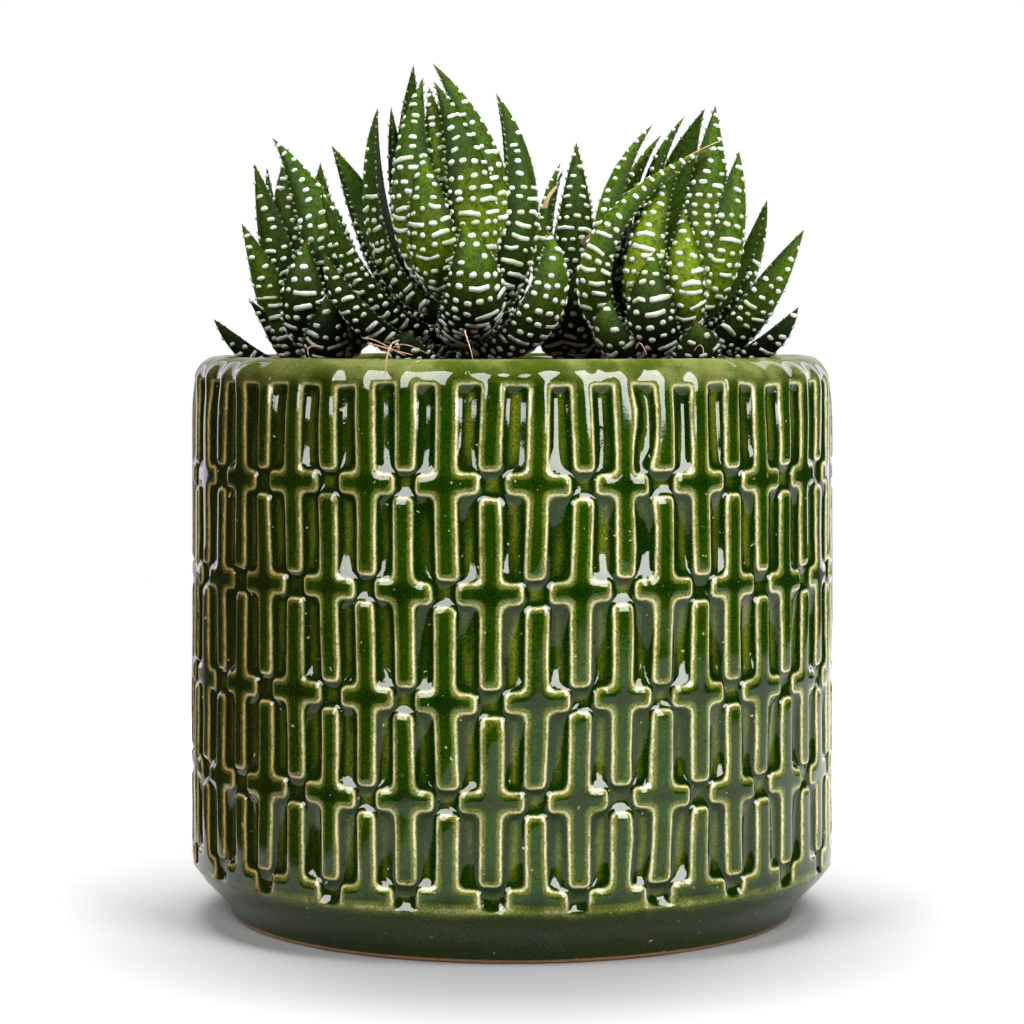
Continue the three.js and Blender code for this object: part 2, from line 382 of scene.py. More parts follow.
# ---- pot: relief ----
def wave(turn, up, seed, terms=7, around=9, along=0.12):
    """A smooth wandering between about -1 and 1 that closes round the pot."""
    draw = random.Random(seed)
    total = np.zeros(np.broadcast(turn, up).shape)
    for _ in range(terms):
        lobes = draw.randint(1, around)
        pace = draw.uniform(-along, along)
        phase = draw.uniform(0, 2 * math.pi)
        total += np.sin(lobes * turn + pace * up + phase)
    return total / math.sqrt(terms)


def box_distance(across, up, middle, half, corner=1.25):
    """Signed distance in millimetres to a box with rounded corners, negative inside."""
    side = np.abs(across - middle[0]) - half[0] + corner
    rise = np.abs(up - middle[1]) - half[1] + corner
    outside = np.hypot(np.maximum(side, 0), np.maximum(rise, 0))
    return outside + np.minimum(np.maximum(side, rise), 0) - corner


def merged(first, second, blend=2.0):
    """The nearer of two distances, with a soft fillet where they meet."""
    share = np.clip(0.5 + 0.5 * (second - first) / blend, 0, 1)
    return second * (1 - share) + first * share - blend * share * (1 - share)


def column_shapes(column):
    """The bars and crossbars of one half-pitch column: (middle, half size, is a crossbar)."""
    last = len(ROW_HEIGHTS) - 1
    arm = CROSSBAR_HEIGHT / 2
    shapes = []
    crossed = [row for row in range(last + 1) if row % 2 == column % 2]
    if column % 2:
        bottom = ROW_HEIGHTS[0] + arm + END_GAP
        shapes.append(((bottom + POT_HEIGHT) / 2, (POT_HEIGHT - bottom) / 2, False))
    for row in crossed:
        top = POT_HEIGHT if row == 0 else ROW_HEIGHTS[row - 1] - arm - END_GAP
        bottom = ROW_HEIGHTS[row] if row == last else ROW_HEIGHTS[row + 1] + arm + END_GAP
        shapes.append(((top + bottom) / 2, (top - bottom) / 2, False))
        shapes.append((ROW_HEIGHTS[row], arm, True))
    return shapes


def uneven_shape(draw, across, rise, middle, half, is_crossbar):
    """Distance to one bar or crossbar, a little off its true place, size and angle."""
    lean = draw.uniform(-0.022, 0.022)
    wider = draw.uniform(-0.2, 0.2)
    nudge = draw.uniform(-0.25, 0.25)
    if is_crossbar:
        size = (CROSSBAR_WIDTH / 2 + wider, half)
        return box_distance(across + nudge, rise + 1.5 * lean * across, (0, middle), size)
    size = (BAR_WIDTH / 2 + 0.6 * wider, half + 0.6 * nudge)
    return box_distance(across + lean * (rise - middle), rise, (0, middle), size)


def relief_distance(turn, up):
    """Distances over a grid: to the pattern's edge, to the edge for its pools, to a crossing."""
    draw = random.Random(31)
    by_seam = seam_line(turn, up, SEAM_WANDER_WIDTH) * wave(turn, up, 15, around=3, along=0.3)
    swing = BAR_WANDER * wave(turn, up, 3, around=14, along=0.16) + SEAM_WANDER * by_seam
    drift = CROSSBAR_WANDER * wave(turn, up, 4, around=12, along=0.1)
    distance = np.full(up.shape, FAR)
    pool = np.full(up.shape, FAR)
    crossing = np.full(up.shape, FAR)
    for column in range(2 * COLUMNS):
        angle = FIRST_COLUMN + column * HALF_PITCH
        away = (turn - angle + math.pi) % (2 * math.pi) - math.pi
        near = np.nonzero(np.abs(away[0]) < 1.35 * HALF_PITCH)[0]
        across = away[:, near] * TOP_RADIUS + swing[:, near]
        rise = up[:, near] + drift[:, near]
        part = np.full(rise.shape, FAR)
        wetted = np.full(rise.shape, FAR)
        cross = crossing[:, near]
        for middle, half, is_crossbar in column_shapes(column):
            shape = uneven_shape(draw, across, rise, middle, half, is_crossbar)
            part = merged(part, shape)
            wetted = merged(wetted, shape, POOL_BLEND)
            if is_crossbar:
                cross = np.minimum(cross, np.hypot(across, 1.3 * (rise - middle)))
        distance[:, near] = merged(distance[:, near], part, 0.4)
        pool[:, near] = merged(pool[:, near], wetted, 0.8)
        crossing[:, near] = cross
    rim = RIM_EDGE - up + 0.35 * wave(turn, up, 5, around=23)
    foot = up - FOOT_EDGE + 0.3 * wave(turn, up, 6, around=23)
    distance = merged(merged(distance, rim, 1.0), foot, 3.0)
    pool = merged(merged(pool, rim, 2.5), foot, 3.0)
    return distance, pool, crossing


def relief_height(distance, pool):
    """How high the glaze stands, from 0 in the grooves to 1: round edges, pools in the corners."""
    crown = CROWN * np.clip(1 + distance / CROWN_REACH, 0, None) ** 2
    edge = ROUND_EDGE * np.clip(1 + distance / ROUND_EDGE_REACH, 0, None) ** 2
    fillet = POOL * np.clip(1 - np.maximum(pool, 0) / POOL_REACH, 0, None) ** 2.3
    return np.where(distance < 0, 1 - crown - edge, fillet)


def seam_line(turn, up, width):
    """Near 1 along the line where the halves of the mould met, 0 away from it."""
    across = (turn - SEAM_TURN) * TOP_RADIUS + 0.5 * wave(0 * turn, up, 14, along=0.35)
    return np.exp(-((across / width) ** 2))


def glaze_swell(turn, up):
    """How far the glaze swells out, in millimetres: fine waves, runs on the shoulder, the seam."""
    shoulder = np.clip((up - 111) / 5, 0, 1) * np.clip((121.5 - up) / 1.5, 0, 1)
    runs = 0.2 * np.cos(2 * math.pi * (turn - FIRST_COLUMN) / HALF_PITCH)
    runs = runs + 0.26 * wave(turn, up, 13, 9, 34, 0.4)
    fine = 0.05 * wave(turn, up, 11, 9, 21, 0.5) + 0.12 * wave(turn, up, 12, 7, 5, 0.05)
    ridge = SEAM_RIDGE * seam_line(turn, up, SEAM_WIDTH) * np.clip((117 - up) / 4, 0, 1)
    return fine + shoulder * runs + ridge


def wall_turns():
    """The turn of every upright line of the wall's mesh, once round and back to the first."""
    lines = np.array(LINES_ACROSS + (ARC / 2,)) / TOP_RADIUS
    starts = FIRST_COLUMN + HALF_PITCH * np.arange(2 * COLUMNS)
    turns = (starts[:, None] + lines[None, :]).ravel()
    return np.append(turns, turns[0] + 2 * math.pi)


def build_pot():
    outline = pot_outline()
    normals = outline_normals(outline)[:, None]
    turns = wall_turns()
    turn, up = np.broadcast_arrays(turns[None, :], outline[:, 1][:, None])
    distance, pool, crossing = relief_distance(turn, up)
    melted = np.clip((MELT_TOP - up) / MELT_DEPTH, 0, 1) ** 2
    relief = relief_height(distance, pool) * (1 - melted) + melted
    outside = outline[:, 0][:, None] > INNER_RADIUS + 1.5
    depth = RELIEF * (1 - relief) - glaze_swell(turn, up) * (up > SWELL_START) * outside
    radius = outline[:, 0][:, None] - depth * normals[..., 0]
    height = outline[:, 1][:, None] - depth * normals[..., 1]

    columns, rows = len(turns) - 1, len(outline) - 1
    bpy.ops.mesh.primitive_grid_add(x_subdivisions=columns, y_subdivisions=rows, size=1)
    pot = bpy.context.object
    pot.name = "glazed_pot"
    place_vertices(pot, rolled(radius, turn, height).reshape(-1, 3) * MM)
    give_attribute(pot, "edge_distance", distance)
    give_attribute(pot, "crossing", crossing)
    weld(pot)
    ring = FOOT_RADIUS - FOOT_RING_WIDTH
    hollow = [
        (INNER_RADIUS, SOIL_TOP),
        (INNER_RADIUS, FLOOR_HEIGHT + FLOOR_CORNER),
        (INNER_RADIUS - FLOOR_CORNER, FLOOR_HEIGHT),
    ]
    close_end(pot, outline[-1], hollow)
    close_end(pot, outline[0], [(ring, 0), (ring, FOOT_RECESS)])
    face_outwards(pot)
    smooth(pot, 60)
    finish_piece(pot, "glaze", glaze_material(), "pot")


def select_open_edge(piece, level):
    """Selects the edges at a height that have a face on one side only."""
    vertices = piece.data.vertices
    faces_at = dict.fromkeys(piece.data.edge_keys, 0)
    for polygon in piece.data.polygons:
        polygon.select = False
        for key in polygon.edge_keys:
            faces_at[key] += 1
    for vertex in vertices:
        vertex.select = False
    for edge in piece.data.edges:
        is_level = abs(vertices[edge.key[0]].co.z - level) < 0.2 * MM
        edge.select = is_level and faces_at[edge.key] == 1
        if edge.select:
            for corner in edge.key:
                vertices[corner].select = True


def close_end(piece, end, rings):
    """Carries an open edge on through rings of (radius, height), and shuts it in the middle."""
    choose(piece)
    select_open_edge(piece, end[1] * MM)
    bpy.ops.object.mode_set(mode="EDIT")
    bpy.ops.mesh.select_mode(type="EDGE")
    radius, height = end
    for next_radius, next_height in rings:
        rise = (0, 0, (next_height - height) * MM)
        scale = next_radius / radius
        middle = (0, 0, next_height * MM)
        bpy.ops.mesh.extrude_edges_move(TRANSFORM_OT_translate={"value": rise})
        bpy.ops.transform.resize(value=(scale, scale, 1), center_override=middle)
        radius, height = next_radius, next_height
    bpy.ops.mesh.extrude_edges_move(TRANSFORM_OT_translate={"value": (0, 0, 0)})
    bpy.ops.mesh.merge(type="CENTER")
    bpy.ops.mesh.select_mode(type="VERT")
    bpy.ops.object.mode_set(mode="OBJECT")


def glaze_material():
    glaze = Finish("green_glaze", IOR=1.39, Specular_Tint=(0.94, 1, 0.78, 1))
    edge = glaze.attribute("edge_distance")
    crossing = glaze.attribute("crossing")
    up = glaze.axis("Z") / MM
    side = glaze.axis("X") / MM
    grain = glaze.noise(2800, 1)
    fine = glaze.noise(900, 3)
    cloudy = glaze.noise(110, 3)
    broad = glaze.noise(28, 2)
    streaky = glaze.noise(170, 2, glaze.scaled_place(1, 1, 0.2))

    # The raised tops: deep green, olive towards the edges, darkest where bars cross.
    deep = glaze.mix(cloudy, colour(12, 40, 0), colour(40, 70, 0))
    olive = glaze.mix(cloudy, colour(68, 86, 6), colour(106, 114, 28))
    near_edge = glaze.step(edge + 0.7 * (cloudy - 0.5) + 0.4 * (fine - 0.5), -1.5, -0.25)
    top = glaze.mix(near_edge, deep, olive)
    dark_cross = glaze.step(crossing + 3 * (cloudy - 0.5), 4.4, 0.4)
    top = glaze.mix(0.7 * dark_cross, top, colour(6, 28, 0))

    # The grooves: dark where the glaze pooled, with paler streaks along their middle.
    pooled = glaze.mix(cloudy, colour(6, 28, 0), colour(20, 46, 0))
    streak = glaze.mix(streaky, colour(52, 72, 4), colour(110, 118, 30))
    in_middle = glaze.step(edge + 0.6 * (fine - 0.5), 0.9, 2.3) * glaze.step(streaky, 0.3, 0.58)
    groove = glaze.mix(in_middle * glaze.step(crossing, 5.5, 7.0), pooled, streak)
    body = glaze.mix(glaze.step(edge, -0.1, 0.4), top, groove)

    # The edges, where the glaze ran thin: a soft halo with a worn cream line in it. They and the
    # whole left side are browner.
    wander = 0.35 * (fine - 0.5) + 0.5 * (cloudy - 0.5)
    above_foot = glaze.step(up + 5 * (cloudy - 0.5), 11.8, 14.4)
    halo = glaze.step(abs(edge + 0.5 + wander), 0.85, 0.1) * (0.1 + 0.9 * above_foot)
    line = glaze.step(abs(edge + 0.22 + wander), 0.37, 0.05) * (0.15 + 0.85 * above_foot)
    less_at_crossing = 1 - 0.3 * glaze.step(crossing, 6.6, 4.6)
    worn = line * glaze.step(cloudy + 0.5 * fine, 0.35, 0.85) * less_at_crossing
    brown_side = glaze.step(side + 16 * (broad - 0.5), -18, -62)
    body = glaze.mix(0.66 * brown_side, body, colour(30, 26, 3))
    halo_colour = glaze.mix(brown_side, colour(124, 128, 52), colour(94, 80, 30))
    body = glaze.mix(0.56 * halo, body, halo_colour)
    cream = glaze.mix(fine, colour(204, 192, 138), colour(250, 240, 204))
    tan = glaze.mix(fine, colour(146, 122, 68), colour(202, 178, 116))
    body = glaze.mix(0.92 * worn, body, glaze.mix(brown_side, cream, tan))

    # The rim and the foot, which have no pattern.
    rim = glaze.mix(glaze.step(cloudy, 0.35, 0.65), colour(68, 82, 20), colour(120, 126, 68))
    rim = glaze.mix(0.75 * brown_side, rim, colour(66, 62, 28))
    on_rim = glaze.step(up + 5 * (cloudy - 0.5), 115.0, 120.0)
    body = glaze.mix(0.9 * on_rim, body, rim)
    foot = glaze.mix(cloudy, colour(24, 40, 0), colour(48, 60, 4))
    on_foot = glaze.step(up + 4 * (cloudy - 0.5), 13.0, 8.6)
    body = glaze.mix(on_foot, body, foot)

    # Pale specks, the grain, and the bare clay of the foot ring.
    specks = glaze.step(glaze.noise(640, 1), 0.755, 0.785)
    body = glaze.mix(0.7 * specks, body, colour(186, 178, 120))
    body = glaze.tinted(body, 1 + (2.6 - 1.9 * worn - 1.4 * on_rim) * (grain - 0.5))
    clay = glaze.mix(fine, colour(150, 100, 62), colour(196, 148, 104))
    bare = glaze.step(up + 0.7 * (broad - 0.5), 0.95, 0.55)
    glaze.feed("Base Color", glaze.mix(bare, body, clay))
    glaze.feed("Roughness", 0.05 + 0.16 * on_foot + 0.7 * bare)
    pits = glaze.step(glaze.noise(520, 1), 0.30, 0.22)
    glaze.bump(0.12 * grain + 0.2 * fine - 1.0 * pits + 0.5 * cloudy, 0.05 * MM, 0.6)
    return glaze.material


# ---- leaves: the same lines and sizes as the frame's ----
ROOT_HEIGHT = 119.0
WIDEST = 0.38
KEEL = 0.36
LEAF_RINGS = 30
BACK_POINTS = 13
FACE_POINTS = 7

# Each leaf is (azimuth, root, belly, reach, height, sway, width), in degrees and millimetres.
ROSETTES = {
    "rosette_centre": ((-12, -9), (
        (-46, 18, 15, 0.5, 65.5, -7.5, 13.5), (-97, 20, 12.5, 6.5, 60.5, -5, 10.5),
        (-68, 18, 17, 6, 61.5, -7.5, 12.5), (-124, 19, 17.5, 8, 62.5, -3, 12),
        (-104, 17, 19.5, 13.5, 47.5, -3.5, 11), (-78, 9, 25.5, 21.5, 31, -3, 13.5),
        (-32, 14, 18, 7.5, 59.5, 4, 12.5), (10, 16, 12, 9, 58, 0.5, 10),
        (-46, 4, 28, 24.5, 29.5, 3.5, 13), (175, 15, 15.5, 17, 56.5, 0.5, 14),
        (160, 15, 10.5, 15, 57, 0.5, 11), (141, 17, 11.5, 10, 66, 2.5, 13.5),
        (143, 12, 17, 28.5, 49, 8, 15.5), (-165, 9, 20, 30, 38, 1.5, 11.5),
        (-149, 5, 24, 32.5, 25, 0.5, 11), (-114, 1, 24.5, 29, 8.5, 3.5, 11),
        (90, 13, 15, 17, 46, 0, 12), (38, 10, 15, 19, 37, 0, 12), (66, 5, 17, 22, 29, 0, 12),
        (112, 4, 16, 22, 28, 0, 11),
    )),
    "rosette_left": ((-42, 5), (
        (-66, 9, 14, 1.5, 50.5, -12, 13), (-125, 11, 11.5, 6, 48.5, -4.5, 11),
        (-136, 6, 10, 19, 44.5, 0, 12.5), (-131, 3, 12, 24, 31.5, -0.5, 12),
        (-144, 0, 9, 20.5, 15.5, 2.5, 7.5), (-160, 0, 15.5, 24.5, 11, -0.5, 10),
        (168, 9, 8.5, 12.5, 44.5, 0, 9), (-99, 6, 19.5, 17, 28, 0.5, 11),
        (-44, 8, 8.5, 4, 39.5, -3, 8.5), (-82, 2, 19, 23, 16, -1, 10.5),
        (-25, 4, 10.5, 10, 20, -1, 9), (95, 9, 8, 10, 46, 0, 10.5), (140, 7, 12, 14, 39, 0, 11),
        (112, 2, 16, 20, 28, 0, 12),
    )),
    "rosette_right": ((36, -4), (
        (-155, 5, 27, -2, 48, 13, 12.5), (-122, 9, 19.5, 5.5, 43, 3.5, 11.5),
        (-88, 8, 19, 12, 34.5, 0, 9.5), (-63, 15, 10.5, 7.5, 57, 5, 12.5),
        (-42, 14, 12, 14.5, 47, 3, 13), (-164, 10, 18, 6, 53, 1, 13),
        (172, 13, 13, 3.5, 51, -0.5, 12.5), (174, 16, 7.5, -1.5, 55, -1, 11.5),
        (119, 16, 8, 1.5, 57, -8, 13), (-108, 3, 24.5, 19.5, 25.5, 0.5, 11.5),
        (14, 10, 13.5, 20, 37, -1.5, 12), (-28, 5, 17, 29.5, 30, 0.5, 14.5),
        (-34, 1, 21.5, 30, 13.5, 0, 10), (-69, 14, 12.5, 9, 36, 3, 8),
        (-130, 2, 23.5, 24, 15, 0.5, 11), (-80, 1, 21.5, 25, 10.5, -2, 10.5),
        (45, 8, 14, 15, 42, 0, 11.5), (95, 11, 12, 13, 46, 0, 11.5), (68, 3, 17, 20, 30, 0, 12),
        (130, 5, 14, 16, 36, 0, 10.5),
    )),
    "rosette_middle": ((14, 26), (
        (-89, 11, 9, 3, 51, 0.5, 10), (-155, 11, 8.5, 3.5, 46.5, 0.5, 8.5),
        (172, 10, 6.5, 2.5, 45, -0.5, 7.5), (-41, 8, 7, 7, 34, -2, 9),
        (-86, 5, 14.5, 15, 23.5, 0, 9.5), (-120, 4, 13.5, 15.5, 23.5, 1.5, 9),
        (45, 8, 9, 8, 36, 0, 10), (100, 7, 10, 8, 40, 0, 10), (5, 4, 12, 13, 27, 0, 10),
        (70, 2, 15, 17, 24, 0, 11),
    )),
    "rosette_rear": ((-14, 41), (
        (-75, 9, 7, 4, 34, 0, 9), (-10, 6, 9, 9, 31, 0, 10), (52, 6, 9, 9, 34, 0, 10),
        (120, 7, 9, 8, 33, 0, 10), (-165, 5, 9, 10, 30, 0, 9.5), (92, 2, 13, 15, 20, 0, 10.5),
        (165, 2, 13, 16, 19, 0, 10), (20, 2, 13, 15, 17, 0, 10),
    )),
}

# How far up the fresh, pale green reaches on a few leaves, by their place in the table, and how
# much lighter than the others the leaves of a rosette are.
PALE_LEAVES = {"rosette_right": {1: 0.8, 2: 0.8}, "rosette_centre": {2: 0.52}}
LIGHTER = {"rosette_right": 0.5}

# A leaf is fresher the higher it starts on the stem and the lighter its own tone.
YOUNG_ROOT = 13.0
YOUNG_RISE = 9.0


def leaf_outline(t):
    """Share of the full width along the leaf: broadest at WIDEST, then drawn to a fine point."""
    away = np.where(t < WIDEST, 0.5 * (1 - t / WIDEST), (t - WIDEST) / (1 - WIDEST))
    return (1 - away ** 2) * (1 - 0.35 * np.clip(away, 0, 1) ** 10)


def back_curve(x):
    """The leaf's rounded back, from margin to margin, with a low keel along its middle."""
    return (1 - np.abs(x) ** 2.2) ** 0.77 + 0.05 * np.exp(-((x / 0.14) ** 2))


class Leaf:
    """One leaf's line, frame and surface, in millimetres."""

    def __init__(self, at, azimuth, root, belly, reach, height, sway, width):
        turn = math.radians(azimuth)
        out = np.array([math.cos(turn), math.sin(turn), 0])
        self.side = np.array([-math.sin(turn), math.cos(turn), 0])
        foot = np.array([at[0], at[1], ROOT_HEIGHT + root])
        rise = np.array([0, 0, height - root])
        self.posts = [
            foot + 2 * out,
            foot + 0.85 * belly * out + 0.03 * rise,
            foot + 1.15 * belly * out + 0.55 * rise + 0.15 * sway * self.side,
            foot + reach * out + rise + sway * self.side,
        ]
        self.width = width
        self.root = root
        self.steps = np.linspace(0, 1, 101)
        pieces = np.linalg.norm(np.diff(self.middle(self.steps), axis=0), axis=1)
        self.way = np.concatenate([[0], np.cumsum(pieces)])
        self.length = self.way[-1]

    def at_way(self, way):
        """The share t at that many millimetres along the leaf."""
        return np.interp(way, self.way, self.steps)

    def middle(self, t):
        return curve_points(self.posts, t[:, None])

    def directions(self, t):
        """Unit vectors along the leaf, out of its back, and across it."""
        along = curve_directions(self.posts, t[:, None])
        back = unit(np.cross(self.side, along))
        return along, back, np.cross(along, back)

    def surface(self, t, x, y):
        """Points of the leaf: x runs from margin to margin, y from the face at 0 to the back."""
        _, back, across = self.directions(t)
        share = leaf_outline(t)
        half = 0.5 * self.width * share
        keel = KEEL * self.width * share ** 0.8
        return self.middle(t) + across * (half * x)[:, None] + back * (keel * y)[:, None]

    def back_and_normal(self, t, x):
        """Points on the leaf's back and the outward normals there."""
        step = 0.01
        t = np.clip(t, 0.001, 0.985)
        x = np.clip(x, -0.985, 0.985)
        point = self.surface(t, x, back_curve(x))
        further = self.surface(t + step, x, back_curve(x)) - point
        aside = self.surface(t, x + step, back_curve(x + step)) - point
        normal = unit(np.cross(further, aside))
        _, back, _ = self.directions(t)
        facing = np.sign(np.sum(normal * back, axis=1))
        return point, normal * facing[:, None]


def all_leaves(name):
    at, leaves = ROSETTES[name]
    return [Leaf(at, *leaf) for leaf in leaves]


def leaf_section():
    """The leaf's cross-section as (x, y) points: the back, then the slightly hollow face."""
    around = np.linspace(0, math.pi, BACK_POINTS)
    back = [(math.cos(turn), float(back_curve(np.array(math.cos(turn))))) for turn in around]
    across = np.linspace(-1, 1, FACE_POINTS + 2)[1:-1]
    face = [(x, 0.16 * (1 - x * x)) for x in across]
    return np.array(back + face)


def drawn_out(section, rings):
    """A straight blank, one unit long: a section drawn out ring by ring and closed in a point."""
    deselect()
    bpy.ops.mesh.primitive_circle_add(vertices=len(section), radius=1, fill_type="NGON")
    blank = bpy.context.object
    place_vertices(blank, np.column_stack([section, np.zeros(len(section))]))
    with editing_all():
        for _ in range(rings):
            rise = {"value": (0, 0, 1 / rings)}
            bpy.ops.mesh.extrude_region_move(TRANSFORM_OT_translate=rise)
        bpy.ops.mesh.merge(type="CENTER")
    return blank


def build_leaves(name, blank, draw):
    straight = coordinates(blank)
    t = np.clip(straight[:, 2], 0, 1)
    on_face = straight[:, 1] < 0.17
    copies, fresh, tone = [], [], []
    for index, leaf in enumerate(all_leaves(name)):
        copies.append(leaf.surface(t, straight[:, 0], straight[:, 1]) * MM)
        own_tone = min(draw.random() + LIGHTER.get(name, 0), 1)
        youth = min(max((leaf.root - YOUNG_ROOT) / YOUNG_RISE + own_tone, 0), 1)
        reach = PALE_LEAVES.get(name, {}).get(index, 0.76 * youth - 0.3)
        fresh.append(np.full(len(t), reach))
        tone.append(np.full(len(t), own_tone))
    piece = piece_of_copies(name + "_leaves", blank, copies)
    give_attribute(piece, "along", np.tile(t, len(copies)))
    give_attribute(piece, "face", np.tile(on_face, len(copies)))
    give_attribute(piece, "margin", np.tile(np.abs(straight[:, 0]), len(copies)))
    give_attribute(piece, "fresh", np.concatenate(fresh))
    give_attribute(piece, "tone", np.concatenate(tone))
    face_outwards(piece)
    smooth(piece, 65)
    return piece


def leaf_material():
    leaf = Finish("leaf_skin", IOR=1.4, Specular_IOR_Level=0.055)
    along = leaf.attribute("along")
    tone = leaf.attribute("tone")
    face = leaf.attribute("face")
    margin = leaf.attribute("margin")
    up = leaf.axis("Z") / MM
    cloudy = leaf.noise(160, 3)
    fine = leaf.noise(1100, 3)
    grain = leaf.noise(3000, 1)
    dull = leaf.mix(cloudy, colour(26, 49, 2), colour(62, 92, 12))
    warm = leaf.mix(cloudy, colour(48, 76, 2), colour(94, 126, 14))
    body = leaf.mix(tone, dull, warm)
    young = leaf.mix(cloudy, colour(98, 130, 4), colour(150, 178, 24))
    youth = leaf.step(along + 0.6 * (cloudy - 0.5) - leaf.attribute("fresh"), 0.2, -0.2)
    body = leaf.mix(0.9 * youth, body, young)
    smooth_green = leaf.mix(cloudy, colour(36, 66, 4), colour(64, 96, 12))
    body = leaf.mix(0.8 * face, body, smooth_green)
    body = leaf.mix(leaf.step(fine, 0.56, 0.32) * 0.6, body, colour(14, 30, 2))
    # Painted shade: darker towards each leaf's base, where the leaves crowd together, except on
    # fresh leaves.
    body = leaf.mix(0.6 * leaf.step(along, 0.42, 0.08) * (1 - youth), body, colour(10, 20, 2))
    # Painted shade: darker towards both margins, where the rounded back turns from the light and
    # leaves overlap.
    margin_shade = leaf.step(margin + 0.3 * (cloudy - 0.5), 0.5, 1.0)
    body = leaf.mix(0.6 * margin_shade, body, colour(10, 26, 2))
    # Painted shade: leaves low down in the clump darken towards near black, less so on fresh
    # leaves.
    depth_shade = leaf.step(up + 14 * (tone - 0.5), 146, 124) * (1 - 0.7 * youth)
    body = leaf.mix(0.9 * depth_shade, body, colour(6, 12, 2))
    body = leaf.mix(leaf.step(along, 0.93, 0.985) * 0.7, body, colour(84, 66, 30))
    leaf.feed("Base Color", leaf.tinted(body, 0.1 + 1.7 * grain))
    leaf.feed("Roughness", 0.5 + 0.2 * cloudy)
    leaf.bump(0.5 * cloudy + 0.5 * fine, 0.16 * MM, 0.6)
    return leaf.material


# ---- tubercles and teeth ----
# From this share of the leaf up, the white marks are few and small.
SPARSE_FROM = 0.7
MARK_LIFT = 0.46


def bead_blank():
    """A round, slightly flattened bump."""
    deselect()
    bpy.ops.mesh.primitive_uv_sphere_add(segments=12, ring_count=4, radius=1)
    bead = bpy.context.object
    with editing_all():
        bpy.ops.transform.resize(value=(1, 1, 0.85), center_override=(0, 0, 0))
    return bead


def row_marks(draw, half, t):
    """One row of white marks across a leaf's back: (place from the keel, length) in millimetres."""
    reach = 1.12 * half
    marks = []
    if t > SPARSE_FROM:
        count = 1 if half < 2.4 else 2
        for index in range(count):
            spot = (index + 0.5) / count * 2 - 1
            marks.append((reach * 0.75 * spot + draw.uniform(-0.8, 0.8), draw.uniform(1.0, 1.6)))
        return marks
    place = -reach + draw.uniform(-0.2, 0.9)
    while place < reach - 0.5:
        in_middle = 1 - abs(place) / reach
        is_dash = draw.random() < 0.08 + 0.42 * in_middle
        length = draw.uniform(2.2, 4.8) if is_dash else draw.uniform(0.95, 1.5)
        length = min(length, reach - place + 0.5)
        marks.append((place + length / 2, length))
        place += length + draw.uniform(0.5, 1.15)
    return marks


def row_spacing(t):
    """Distance from one row of marks to the next: close near the root, wider towards the tip."""
    return 1.4 + 0.65 * min(t / 0.35, 1) + 0.5 * t


def leaf_beads(draw, leaf, bead):
    """Places of every white mark on one leaf's back, drawn out and bent to lie on it."""
    copies = []
    way = 2.4 + draw.uniform(0, 1)
    while way < 0.95 * leaf.length:
        t = float(leaf.at_way(way))
        half = 0.5 * leaf.width * float(leaf_outline(np.array(t)))
        slope = draw.uniform(-0.14, 0.14)
        for place, length in row_marks(draw, half, t):
            wide = min(draw.uniform(0.85, 1.18), length) * (1 if t < SPARSE_FROM else 0.9)
            tilt = draw.uniform(-0.34, 0.34) * min(1, 2 / length)
            bow = draw.uniform(-0.5, 0.5) * (length > 1.8)
            stretch = np.sign(bead[:, 0].round(3)) * 0.5 * (length - wide)
            longer = bead[:, 0] * 0.5 * wide + stretch
            wider = bead[:, 1] * 0.5 * wide
            spot = place + longer * math.cos(tilt) - wider * math.sin(tilt)
            shift = longer * math.sin(tilt) + wider * math.cos(tilt)
            shift = shift + slope * place + draw.uniform(-0.35, 0.35)
            shift = shift + bow * (2 * longer / length) ** 2
            turn = np.clip(1.257 * spot / half, -1.5, 1.5)
            steps = leaf.at_way(np.clip(way + shift, 0, leaf.length))
            point, normal = leaf.back_and_normal(steps, np.sin(turn))
            lift = MARK_LIFT * wide * bead[:, 2]
            copies.append((point + normal * lift[:, None]) * MM)
        way += row_spacing(t) * draw.uniform(0.85, 1.15)
    return copies


def leaf_teeth(draw, leaf, bead):
    """Small teeth along both margins of one leaf, drawn out to a point."""
    copies = []
    slim = 1 - 0.55 * np.clip(bead[:, 0:1], 0, 1)
    for margin in (-1, 1):
        way = 1.5 + draw.uniform(0, 1)
        while way < 0.98 * leaf.length:
            t = np.array([leaf.at_way(way)])
            size = draw.uniform(0.26, 0.42) * (1 if t[0] < 0.8 else 0.75)
            centre = leaf.surface(t, np.array([margin * 0.98]), np.array([0.06]))[0]
            along, back, across = (axis[0] for axis in leaf.directions(t))
            point = unit(margin * across * 0.8 + along * 0.6)
            aside = np.cross(point, back)
            section = bead[:, 1:2] * 1.3 * aside + bead[:, 2:3] * back
            spots = bead[:, 0:1] * 1.9 * point + slim * section
            copies.append((centre + size * spots) * MM)
            way += (1.1 + 0.7 * t[0]) * draw.uniform(0.7, 1.3)
    return copies


def build_beads(name, bead, draw):
    shape = coordinates(bead)
    marks, teeth = [], []
    for leaf in all_leaves(name):
        marks += leaf_beads(draw, leaf, shape)
        teeth += leaf_teeth(draw, leaf, shape)
    white = piece_of_copies(name + "_tubercles", bead, marks)
    smooth(white)
    green = piece_of_copies(name + "_teeth", bead, teeth)
    give_attribute(green, "point", np.tile(0.5 + 0.5 * shape[:, 0], len(teeth)))
    smooth(green)
    return white, green


